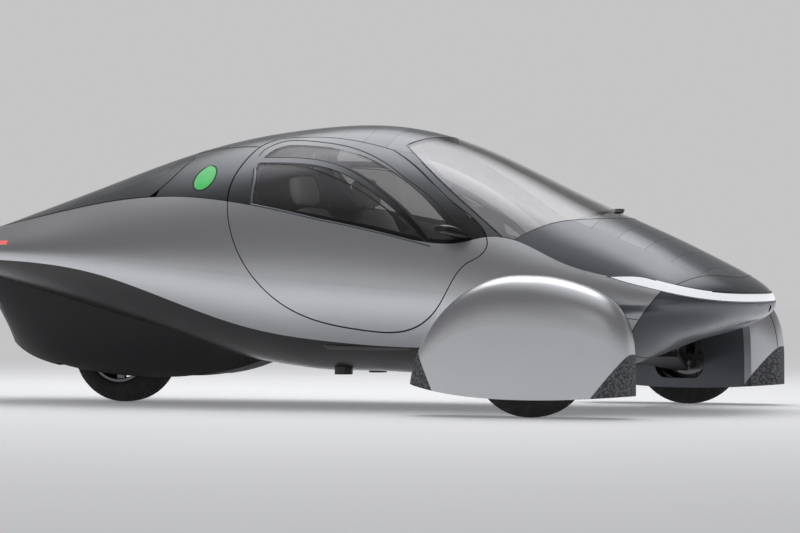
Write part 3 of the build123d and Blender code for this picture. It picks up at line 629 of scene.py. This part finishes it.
def rim_runs(name):
    """The outer sharp edges of a CAD node, chained: runs of (point, skin normal, way into the skin)."""
    mesh = NODES[name].data
    edges = {}
    for face in mesh.polygons:
        corners = [mesh.vertices[i].co for i in face.vertices]
        keys = [tuple(round(part, 5) for part in corner) for corner in corners]
        for a, b in zip(keys, keys[1:] + keys[:1]):
            edges.setdefault(frozenset((a, b)), []).append((face.normal.copy(), face.center.copy()))
    near = {}
    for edge, sides in edges.items():
        if len(edge) < 2 or len(sides) != 2:
            continue
        a, b = (Vector(key) for key in edge)
        middle = (a + b) / 2
        outward = (middle - Vector((min(max(middle.x, -1.2), 1.3), 0, 0.6))).normalized()
        skin, side = sorted(sides, key=lambda pair: -pair[0].dot(outward))
        if skin[0].dot(outward) < 0.5 or skin[0].dot(side[0]) > 0.75:
            continue
        ahead = (b - a).normalized()
        inward = skin[1] - middle
        inward = (inward - ahead * inward.dot(ahead)).normalized()
        for here, there in (tuple(edge), tuple(edge)[::-1]):
            near.setdefault(here, []).append((there, skin[0], inward))
    runs = []
    while near:
        here = min(near, key=lambda key: len(near[key]))
        run = []
        while here in near and near[here]:
            there, normal, inward = near[here].pop()
            near[there] = [link for link in near.get(there, []) if link[0] != here]
            run.append((Vector(here), normal, inward))
            last = (Vector(there), normal, inward)
            if not near[here]:
                del near[here]
            here = there
        near = {key: links for key, links in near.items() if links}
        if run:
            runs.append(run + [last])
    return runs


def rim(build, name, width, proud=0.0008, shortest=0.12):
    """A low ridge just inside the outer edge of a CAD node, all along it."""
    for run in rim_runs(name):
        if sum((b[0] - a[0]).length for a, b in zip(run, run[1:])) < shortest:
            continue
        rows = []
        for point, normal, inward in run:
            rows.append([point + inward * reach + normal * rise for reach, rise in
                         ((0.0003, -0.001), (0.0008, proud), (width * 0.8, proud), (width, -0.001))])
        build.rows(rows)


def side_line(tree, points, sign, count=40):
    """A smooth line through (x, z) points, carried sideways onto a surface."""
    run = smooth_run([(x, sign * 3.0, z) for x, z in points], count)
    return laid_on(tree, run, (0, -sign, 0))


class CarPaint(bpy.types.PropertyGroup):
    silver: FloatVectorProperty(name="Silver", description="Lower body and pods", subtype="COLOR",
                                size=3, min=0, max=1, default=(0.65, 0.655, 0.675))
    charcoal: FloatVectorProperty(name="Charcoal", description="Hood, roof, pillars and hatch",
                                  subtype="COLOR", size=3, min=0, max=1, default=(0.125, 0.132, 0.147))
    cell_pitch: FloatProperty(name="Cell pitch", description="Spacing of the solar cells", unit="LENGTH",
                              min=0.05, max=0.3, default=0.135)
    glass_tint: FloatProperty(name="Glass tint", description="How much light the glass holds back",
                              subtype="FACTOR", min=0, max=1, default=0.4)
    seam_width: FloatProperty(name="Seam width", description="Width of the panel seams", unit="LENGTH",
                              min=0.001, max=0.02, default=0.005)


class CarLamps(bpy.types.PropertyGroup):
    front_strength: FloatProperty(name="Front strength", description="Glow of the light bar", min=0,
                                  max=10, default=0.72)
    tail_strength: FloatProperty(name="Tail strength", description="Glow of the tail lamp", min=0,
                                 max=10, default=0.8)
    disc_strength: FloatProperty(name="Disc strength", description="Glow of the pillar discs", min=0,
                                 max=10, default=0.45)


class CarWheels(bpy.types.PropertyGroup):
    groove: FloatProperty(name="Groove depth", description="Depth of the tread grooves", unit="LENGTH",
                          min=0, max=0.012, default=0.006)
    pitches: IntProperty(name="Tread pitches", description="Tread blocks round a tyre", min=20, max=90,
                         default=62)
    disc_radius: FloatProperty(name="Brake disc", description="Radius of the brake discs", unit="LENGTH",
                               min=0.08, max=0.16, default=0.132)


class CarCabin(bpy.types.PropertyGroup):
    cloth: FloatVectorProperty(name="Cloth", description="Seat cloth", subtype="COLOR", size=3, min=0, max=1,
                               default=(0.8, 0.75, 0.68))
    accent: FloatVectorProperty(name="Accent", description="Soft trim", subtype="COLOR", size=3, min=0, max=1,
                                default=(0.42, 0.14, 0.07))
    channel: FloatProperty(name="Channel depth", description="Depth of the sewn channels", unit="LENGTH",
                           min=0, max=0.02, default=0.008)


class CarStage(bpy.types.PropertyGroup):
    lens: FloatProperty(name="Lens", description="Focal length on a 36 mm sensor", unit="CAMERA", min=20,
                        max=400, default=168.57)
    key: FloatProperty(name="Key light", description="Power of the overhead light", unit="POWER", min=0,
                       max=20000, default=520)
    fill_share: FloatProperty(name="Fill", description="Power of the light on the camera's side, as a share",
                              subtype="FACTOR", min=0, max=1, default=0.08)
    backdrop: FloatProperty(name="Backdrop", description="Brightness of the backdrop at the horizon", min=0,
                            max=1, default=0.56)
    side_share: FloatProperty(name="Side walls", description="Brightness above the backdrop, as a share",
                              subtype="FACTOR", min=0, max=1, default=0.32)
    top_share: FloatProperty(name="Ceiling", description="Brightness of the ceiling, as a share", min=0,
                             max=4, default=1.3)


def add_floor():
    """A floor that is pale round the car and turns into the backdrop further off. Its paleness and stronger
    glow round the car are a painted pool of light, and its glow is painted light.
    """
    mesh = bpy.data.meshes.new("floor")
    corners = [(x * FLOOR_REACH, y * FLOOR_REACH, 0) for x, y in ((-1, -1), (1, -1), (1, 1), (-1, 1))]
    mesh.from_pydata(corners, [], [(0, 1, 2, 3)])
    obj = bpy.data.objects.new("floor", mesh)
    bpy.context.scene.collection.objects.link(obj)
    # Painted light: the floor's emission lifts it and the shadows on it, though the floor is no lamp.
    made = Finish("floor", (0.8, 0.8, 0.81), 0.6, Emission_Strength=1.0)
    made.set("Specular IOR Level", 0.15)
    away = made.place.node("VectorMath", {"operation": "LENGTH"}, {0: made.place}, "Value")
    # Painted pool of light: paler colour and stronger glow round the car, fading out between 4.5 m and 15 m.
    painted_light_pool = (away + made.place.noise(0.4, 2.0) * 0.6).ramp(4.5, 15.0)
    behind = made.place.split()[1].ramp(2.0, 9.0).larger(away.ramp(9.0, 17.0))
    near = painted_light_pool.blend((0.95, 0.955, 0.97, 1), (0.66, 0.66, 0.665, 1))
    # Painted floor glow: emission colour, stronger round the car than further off.
    painted_floor_glow = painted_light_pool.blend((0.17, 0.172, 0.178, 1), (0.105, 0.105, 0.106, 1))
    made.set("Base Color", behind.blend(near, (0.18, 0.18, 0.182, 1)))
    made.set("Emission Color", behind.blend(painted_floor_glow, (0.46, 0.46, 0.465, 1)))
    mesh.materials.append(made.material)


def add_backdrop(horizon, walls, ceiling):
    """A world whose brightness depends on the height looked at."""
    world = bpy.data.worlds.new("studio")
    world.use_nodes = True
    bpy.context.scene.world = world
    tree = world.node_tree
    height = Wire(tree, tree.nodes.new("ShaderNodeTexCoord").outputs["Generated"]).split()[2]
    stops = [(0.0, horizon, 1.0), (0.09, horizon, 1.0), (0.2, walls * 1.5, 1.55 / 1.5), (0.38, walls, 1.0),
             (0.72, walls, 1.02), (0.97, ceiling, 1.02)]
    colours = [(place, (grey, grey, grey * blue)) for place, grey, blue in stops]
    sky = height.node("ValToRGB", {"stops": colours}, {0: height})
    tree.links.new(sky.socket, tree.nodes["Background"].inputs["Color"])


def add_soft_light(name, place, target, size, power):
    """A large area light that fades out towards its edges."""
    light = bpy.data.lights.new(name, "AREA")
    light.shape = "RECTANGLE"
    light.size, light.size_y = size
    light.energy = power
    light.use_nodes = True
    tree = light.node_tree
    where = Wire(tree, tree.nodes.new("ShaderNodeNewGeometry").outputs["Parametric"])
    soft = [1.0 - abs(part * 2.0 - 1.0) for part in where.split()[:2]]
    mask = soft[0].ramp(0.0, 0.5) * soft[1].ramp(0.0, 0.6)
    tree.links.new(mask.socket, tree.nodes["Emission"].inputs["Strength"])
    lamp = bpy.data.objects.new(name, light)
    bpy.context.scene.collection.objects.link(lamp)
    lamp.location = place
    lamp.rotation_mode = "QUATERNION"
    lamp.rotation_quaternion = (Vector(place) - Vector(target)).to_track_quat("Z", "Y")


def add_camera(lens):
    """A level camera near the ground."""
    camera = bpy.data.cameras.new("camera")
    camera.lens = lens
    camera.clip_end = 200
    view = bpy.data.objects.new("camera", camera)
    bpy.context.scene.collection.objects.link(view)
    view.location = CAMERA_PLACE
    view.rotation_mode = "QUATERNION"
    view.rotation_quaternion = Vector(CAMERA_AIM).to_track_quat("-Z", "Y")
    bpy.context.scene.camera = view


class CAR_OT_stage(bpy.types.Operator):
    """Floor, backdrop, soft lights and the camera"""

    bl_idname = "car.stage"
    bl_label = "Stage"

    def execute(self, context):
        settings = context.scene.car_stage
        grey = settings.backdrop
        add_floor()
        add_backdrop(grey, grey * settings.side_share, grey * settings.top_share)
        add_soft_light("overhead", (-1.0, 2.6, 6.5), (-0.7, 0.6, 0), (10.5, 8.0), settings.key)
        add_soft_light("camera_side", (4.0, -12.0, 5.0), (0, 0, 0.6), (9.0, 3.0),
                       settings.key * settings.fill_share)
        add_camera(settings.lens)
        context.scene.view_settings.view_transform = "Standard"
        return {"FINISHED"}


def camera_eye(side, sign):
    """The small lens at the tip of a camera wing."""
    wing = "camera_wing_" + side
    low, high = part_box(wing)
    tip = Vector(((low.x + high.x) / 2, high.y if sign > 0 else low.y, (low.z + high.z) / 2))
    build = Build()
    build.turned([(0.0, -0.012 * sign), (0.006, -0.012 * sign), (0.006, 0.0), (0.004, 0.001 * sign),
                  (0.0, 0.0015 * sign)], 28, tip)
    build.piece("camera_eye_" + side, NODES[wing]["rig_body"],
                finish("screen_face", screen_face))


class CAR_OT_bodywork(bpy.types.Operator):
    """Paint on the shell, doors and pods"""

    bl_idname = "car.bodywork"
    bl_label = "Bodywork"

    def execute(self, context):
        silver = finish("satin_silver", satin_paint)
        silver.dress("tail_panel")
        charcoal = finish("charcoal_gloss", charcoal_gloss)
        charcoal.dress("nose_cap")
        # Pillars, door frames and camera wings get a painted dark reflection towards the belt line.
        pillar = finish("pillar_gloss", pillar_gloss)
        for side, sign in SIDES.items():
            camera_eye(side, sign)
            silver.dress("fender_" + side, "quarter_" + side, "door_skin_" + side, "pod_" + side)
            pillar.dress("rear_pillar_" + side, "door_frame_" + side, "camera_wing_" + side)
            charcoal.dress("pod_liner_" + side)
            finish("speckled_composite", speckled).dress("pod_pads_" + side)
        finish("solar_gloss", solar_gloss).dress("hood", "roof", "hatch")
        finish("gloss_black", gloss_black).dress("belly")
        finish("matt_shell", matt_shell).dress("rear_fairing")
        finish("speckled_composite", speckled).dress("fairing_pad")
        return {"FINISHED"}


def pod_seam(side, sign, width):
    """The seam over the crown of a pod, where its two shells meet."""
    low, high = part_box("pod_" + side)
    shell = surface_of("pod_" + side)
    start = Vector(((low.x + high.x) / 2, (low.y + high.y) / 2 - sign * 0.06, low.z + 0.12))
    laid = []
    for i in range(64):
        angle = math.pi * (0.04 + 0.92 * i / 63)
        out = Vector((math.cos(angle), 0, math.sin(angle)))
        laid += laid_on(shell, [start + out * 2.0], -out)
    build = Build()
    seam(build, laid, width)
    build.piece("pod_seam_" + side, "steer_" + side, finish("seal_rubber", seal_rubber), 60)


class CAR_OT_seams(bpy.types.Operator):
    """Panel seams, window frames and mouldings"""

    bl_idname = "car.seams"
    bl_label = "Seams"

    def execute(self, context):
        width = context.scene.car_paint.seam_width
        dark = finish("seal_rubber", seal_rubber)
        charcoal = finish("charcoal_gloss", charcoal_gloss)
        alloy = finish("rim_metal", rim_metal)
        body = Build()
        for name in ("windscreen", "nose_cap", "light_bar", "roof", "pillar_lamps"):
            rim(body, name, width)
        for side, sign in SIDES.items():
            rim(body, "rear_pillar_" + side, width)
            seam(body, side_line(surface_of("fender_" + side), FENDER_SEAM, sign, 12), width)
        body.piece("body_seams", "root", dark, 60)
        for side, sign in SIDES.items():
            door = surface_of("door_frame_" + side, "door_glass_" + side, "door_skin_" + side)
            lines = Build()
            for points in (WINDOW_ARCH, LOWER_PANE):
                seam(lines, side_line(door, points, sign), width * 1.5)
            rim(lines, "door_glass_" + side, width)
            lines.piece("window_seams_" + side, "door_" + side, dark, 60)
            pod_seam(side, sign, width)
            belt = Build()
            seam(belt, side_line(door, BELT_LINE, sign), width * 2.6, 0.0025)
            belt.piece("belt_moulding_" + side, "door_" + side, charcoal, 60)
            post = Build()
            seam(post, side_line(door, WINDOW_POST, sign, 16), width * 4, 0.002)
            post.piece("window_post_" + side, "door_" + side, alloy, 60)
        return {"FINISHED"}


class CAR_OT_glass(bpy.types.Operator):
    """Tinted glass of the windscreen and doors"""

    bl_idname = "car.glass"
    bl_label = "Glass"

    def execute(self, context):
        finish("screen_glass", screen_glass).dress("windscreen")
        finish("side_glass", side_glass).dress("door_glass_right", "door_glass_left")
        return {"FINISHED"}


class CAR_OT_lamps(bpy.types.Operator):
    """Light bar, tail lamp and the plain discs on the pillars"""

    bl_idname = "car.lamps"
    bl_label = "Lamps"

    def execute(self, context):
        finish("white_light", white_light).dress("light_bar")
        finish("red_light", red_light).dress("tail_lamp")
        finish("green_light", green_light).dress("pillar_lamps")
        return {"FINISHED"}


def wheel_centre(name):
    """The middle of a tyre, at its axle."""
    low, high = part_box("tyre_" + name)
    return Vector(((low.x + high.x) / 2, (low.y + high.y) / 2, WHEEL_RADIUS))


class CAR_OT_tyres(bpy.types.Operator):
    """Tyres with grooved tread"""

    bl_idname = "car.tyres"
    bl_label = "Tyres"

    def execute(self, context):
        wheels = context.scene.car_wheels
        shoulder = [(0.178, 0.081), (0.184, 0.088), (0.196, 0.093), (0.212, 0.0948), (0.228, 0.093),
                    (0.242, 0.0885), (0.254, 0.083), (0.264, 0.0765), (0.2705, 0.070)]
        tread = [(0.2735, 0.064), (0.2752, 0.059), (0.2768, 0.053), (0.2778, 0.0475), (0.278, 0.0455),
                 (0.2782, 0.0405), (0.2784, 0.0385), (0.279, 0.034), (0.2794, 0.028), (0.2798, 0.022),
                 (0.28, 0.0185), (0.28, 0.0165), (0.28, 0.0145), (0.28, 0.0125), (0.28, 0.008), (0.28, 0.004)]
        outer = shoulder + tread
        bead = [(0.176, -0.04), (0.176, 0.04)]
        profile = outer + [(WHEEL_RADIUS, 0.0)] + [(r, -y) for r, y in reversed(outer)] + bead
        grooves = (0.016, 0.043)

        def carved(i, along):
            """How deep the tread is cut at a step round the tyre and a distance from its middle."""
            reach = abs(along)
            depth = 0.0
            if any(abs(reach - centre) < 0.0036 for centre in grooves):
                depth = wheels.groove
            if 0.046 < reach < 0.078 and (i + round(along * 90)) % 4 == 0:
                depth = max(depth, wheels.groove * (0.9 if reach < 0.066 else 0.5))
            if 0.018 < reach < 0.040 and (i + round(along * 240)) % 4 == 1:
                depth = max(depth, wheels.groove * 0.55)
            return depth

        for name in WHEELS:
            build = Build()
            build.turned(profile, wheels.pitches * 4, wheel_centre(name), shape=carved)
            obj = build.piece("tread_" + name, "wheel_" + name, finish("rubber", rubber), sharp=30)
            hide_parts("tyre_" + name)
        return {"FINISHED"}


def wheel_cap(name, sign, centre):
    """The cap of a wheel and its five nuts."""
    build = Build()
    build.turned([(0.0, 0.0), (0.034, 0.0), (0.036, sign * 0.006), (0.033, sign * 0.012),
                  (0.02, sign * 0.0155), (0.0, sign * 0.0165)], 40, centre + Vector((0, sign * 0.057, 0)))
    for k in range(5):
        angle = 2 * math.pi * (k + 0.5) / 5
        nut = centre + Vector((0.056 * math.cos(angle), sign * 0.038, 0.056 * math.sin(angle)))
        build.turned([(0.0, 0.0), (0.011, 0.0), (0.011, sign * 0.012), (0.008, sign * 0.016),
                      (0.0, sign * 0.017)], 6, nut)
    build.piece("wheel_cap_" + name, "wheel_" + name, finish("coated_metal", coated_metal))


def brake_disc(name, centre, radius):
    """A plain disc with its bell."""
    edge = radius + 0.0015
    build = Build()
    build.turned([(0.045, -0.004), (0.07, -0.004), (0.072, -0.012), (radius, -0.012), (edge, -0.008),
                  (edge, 0.008), (radius, 0.012), (0.072, 0.012), (0.07, 0.016), (0.045, 0.016)], 72, centre)
    build.piece("brake_disc_" + name, "wheel_" + name, finish("disc_steel", disc_steel))


def brake_grip(side, centre, radius):
    """A calliper of three blocks round the rear of a disc."""
    build = Build()
    for k in (-1, 0, 1):
        angle = math.radians(180 + 17 * k)
        place = centre + Vector((math.cos(angle), 0, math.sin(angle))) * (radius - 0.012)
        build.box(place, (0.05, 0.06, 0.042), Matrix.Rotation(-angle, 3, "Y"), edge=0.3)
    build.piece("brake_grip_" + side, "steer_" + side, finish("case_metal", case_metal))


class CAR_OT_wheels(bpy.types.Operator):
    """Rims with caps and nuts, brake discs and callipers"""

    bl_idname = "car.wheels"
    bl_label = "Wheels"

    def execute(self, context):
        radius = context.scene.car_wheels.disc_radius
        finish("rim_metal", rim_metal).dress(*("rim_" + name for name in WHEELS))
        for name, sign in WHEELS.items():
            centre = wheel_centre(name)
            hub = centre - Vector((0, sign * 0.004, 0))
            wheel_cap(name, sign, centre)
            brake_disc(name, hub, radius)
            if name.startswith("front_"):
                brake_grip(name.removeprefix("front_"), hub, radius)
        return {"FINISHED"}


class CAR_OT_running_gear(bpy.types.Operator):
    """Finish of the arms, knuckles, swing arm and battery"""

    bl_idname = "car.running_gear"
    bl_label = "Running gear"

    def execute(self, context):
        metal = finish("coated_metal", coated_metal)
        metal.dress("front_arms", "swing_arm", "knuckle_right", "knuckle_left")
        finish("case_metal", case_metal).dress("battery")
        return {"FINISHED"}


def eased(values, share):
    """The value at a share of the way through a list of evenly spaced ones."""
    place = share * (len(values) - 1)
    k = min(int(place), len(values) - 2)
    return values[k] + (values[k + 1] - values[k]) * (place - k)


def pad_form(build, spine, widths, depths, y, channels, channel, around=44, steps=40):
    """A stuffed form along a spine in x and z: rounded ends, a crowned face and sewn channels along it."""
    line = smooth_run([(x, 0, z) for x, z in spine], steps)
    rows = []
    for i, point in enumerate(line):
        share = i / (steps - 1)
        ahead = (line[min(i + 1, steps - 1)] - line[max(i - 1, 0)]).normalized()
        face = Vector((-ahead.z, 0, ahead.x))
        width, depth = eased(widths, share), eased(depths, share)
        end = max(0.0, 1 - abs(2 * share - 1) ** 9) ** 0.34
        stitch = 0.55 * math.exp(-((share * 6) % 1.0 - 0.5) ** 2 / 0.0035)
        row = []
        for j in range(around):
            angle = 2 * math.pi * j / around
            c, s = math.cos(angle), math.sin(angle)
            side = math.copysign(abs(c) ** 0.45, c)
            out = math.copysign(abs(s) ** 0.62, s)
            sewn = 0.0
            if s > 0:
                sewn = sum(math.exp(-((abs(side) - line_at) / 0.045) ** 2) for line_at in channels)
                sewn += stitch if abs(side) < channels[-1] else 0.0
            crown = 1 + 0.14 * math.cos(side * math.pi / 2)
            across = y + side * width / 2 * (0.35 + 0.65 * end)
            rise = out * crown * depth / 2 * (0.2 + 0.8 * end) - channel * min(1.0, sewn)
            row.append(point + Vector((0, across, 0)) + face * rise)
        rows.append(row)
    build.rows(rows)


def seat_frame(side, y):
    """The base, the rails and the posts of the head rest."""
    build = Build()
    build.box((0.39, y, 0.318), (0.50, 0.34, 0.046), edge=0.5)
    for across in (-0.05, 0.05):
        build.tube([(x, y + across, z) for x, z in HEAD_POST], 0.006)
    for across in (-0.16, 0.16):
        build.tube([(RAIL_BACK + RAIL_LENGTH * i / 5, y + across, 0.3) for i in range(6)], 0.012)
    build.piece("seat_base_" + side, "root", finish("trim", trim))


def belt_buckle(side, y):
    """A leaning stalk with its catch."""
    lean = Matrix.Rotation(0.5, 3, "Y")
    build = Build()
    build.box((0.28, y, 0.39), (0.03, 0.012, 0.2), lean, edge=0.6)
    build.box((0.30, y, 0.475), (0.034, 0.018, 0.04), lean, edge=0.6)
    build.piece("belt_buckle_" + side, "root", finish("seal_rubber", seal_rubber))


class CAR_OT_seats(bpy.types.Operator):
    """Two padded seats with head rests, frames and belt buckles"""

    bl_idname = "car.seats"
    bl_label = "Seats"

    def execute(self, context):
        channel = context.scene.car_cabin.channel
        cloth = finish("seat_cloth", seat_cloth)
        for side, sign in SIDES.items():
            y = sign * SEAT_ACROSS
            pads = Build()
            pad_form(pads, CUSHION, [0.38, 0.40, 0.40, 0.38], [0.10, 0.12, 0.12, 0.10], y, [0.52, 0.86],
                     channel)
            pad_form(pads, BACKREST, [0.34, 0.41, 0.42, 0.39], [0.085, 0.10, 0.115, 0.12], y, [0.50, 0.84],
                     channel)
            cushion = pads.piece("seat_pads_" + side, "root", cloth, 60)
            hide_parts("seat_" + side)
            head = Build()
            pad_form(head, HEAD_REST, [0.19, 0.21, 0.19], [0.065, 0.08, 0.065], y, [0.04], channel * 0.8,
                     steps=26)
            rest = head.piece("seat_head_" + side, "root", cloth, 60)
            seat_frame(side, y)
            belt_buckle(side, y - sign * 0.205)
        return {"FINISHED"}


class CAR_OT_cabin(bpy.types.Operator):
    """Dashboard with its screen and soft strip, steering wheel and floors"""

    bl_idname = "car.cabin"
    bl_label = "Cabin"

    def execute(self, context):
        finish("trim", trim).dress("dashboard", "steering_wheel")
        finish("carpet", carpet).dress("cabin_floor", "load_floor")
        low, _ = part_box("dashboard")
        board = surface_of("dashboard")
        foot = laid_on(board, [(low.x + 0.06, 0.0, 3.0)], (0, 0, -1))[0][0]
        screen = Build()
        lean = Matrix.Rotation(math.radians(-18), 3, "Y")
        screen.box(foot + Vector((0.0, 0.0, 0.075)), (0.018, 0.33, 0.19), lean, edge=0.4)
        screen.tube([foot + Vector((0.02, 0, -0.02)), foot + Vector((0.01, 0, 0.05))], 0.02)
        screen.piece("dash_screen", "root", finish("screen_face", screen_face))
        accent = Build()
        ways = [low.y * 0.8 * (i / 10 - 1) for i in range(21)]
        seam(accent, laid_on(board, [(-1.0, y, 0.74) for y in ways], (1, 0, 0)), 0.05, 0.004)
        accent.piece("dash_accent", "root", finish("accent_trim", accent_trim), 60)
        return {"FINISHED"}


class CAR_OT_wiper(bpy.types.Operator):
    """Wiper at the foot of the windscreen"""

    bl_idname = "car.wiper"
    bl_label = "Wiper"

    def execute(self, context):
        glass = surface_of("windscreen", "hood")
        ways = [i / 23 for i in range(24)]
        parked = laid_on(glass, [(1.47 - 0.55 * t * t, 0.02 + 0.55 * t, 3.0) for t in ways], (0, 0, -1))
        build = Build()
        arm = [point + normal * (0.008 + 0.01 * math.sin(math.pi * i / (len(parked) - 1)))
               for i, (point, normal) in enumerate(parked)]
        build.tube(arm, lambda t: 0.006 - 0.003 * t)
        build.tube([point + normal * 0.005 for point, normal in parked[5:]], 0.005)
        pivot = parked[0][0] - Vector((0, 0, 0.004))
        build.turned([(0.0, 0.0), (0.02, 0.0), (0.018, 0.01), (0.009, 0.016), (0.0, 0.017)], 24, pivot,
                     axis="Z")
        build.piece("wiper", "root", finish("seal_rubber", seal_rubber))
        return {"FINISHED"}


OPERATORS = (CAR_OT_stage, CAR_OT_bodywork, CAR_OT_seams, CAR_OT_glass, CAR_OT_lamps, CAR_OT_tyres,
             CAR_OT_wheels, CAR_OT_running_gear, CAR_OT_seats, CAR_OT_cabin, CAR_OT_wiper)
SETTINGS = {"car_paint": CarPaint, "car_lamps": CarLamps, "car_wheels": CarWheels, "car_cabin": CarCabin,
            "car_stage": CarStage}


class CAR_PT_panel(bpy.types.Panel):
    """Lists the car's pieces and their settings"""

    bl_idname = "CAR_PT_panel"
    bl_label = "Three wheeled car"
    bl_space_type = "VIEW_3D"
    bl_region_type = "UI"
    bl_category = "Car"

    def draw(self, context):
        for name in SETTINGS:
            group = getattr(context.scene, name)
            for key in group.bl_rna.properties.keys():
                if key not in ("rna_type", "name"):
                    self.layout.prop(group, key)
        for operator in OPERATORS:
            self.layout.operator(operator.bl_idname)


def register():
    for kind in (*SETTINGS.values(), *OPERATORS, CAR_PT_panel):
        bpy.utils.register_class(kind)
    for name, group in SETTINGS.items():
        setattr(bpy.types.Scene, name, PointerProperty(type=group))


def unregister():
    for name in SETTINGS:
        delattr(bpy.types.Scene, name)
    for kind in reversed((*SETTINGS.values(), *OPERATORS, CAR_PT_panel)):
        bpy.utils.unregister_class(kind)


def main():
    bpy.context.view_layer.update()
    register()
    for operator in OPERATORS:
        group, name = operator.bl_idname.split(".")
        getattr(getattr(bpy.ops, group), name)()


if __name__ == "__main__":
    main()
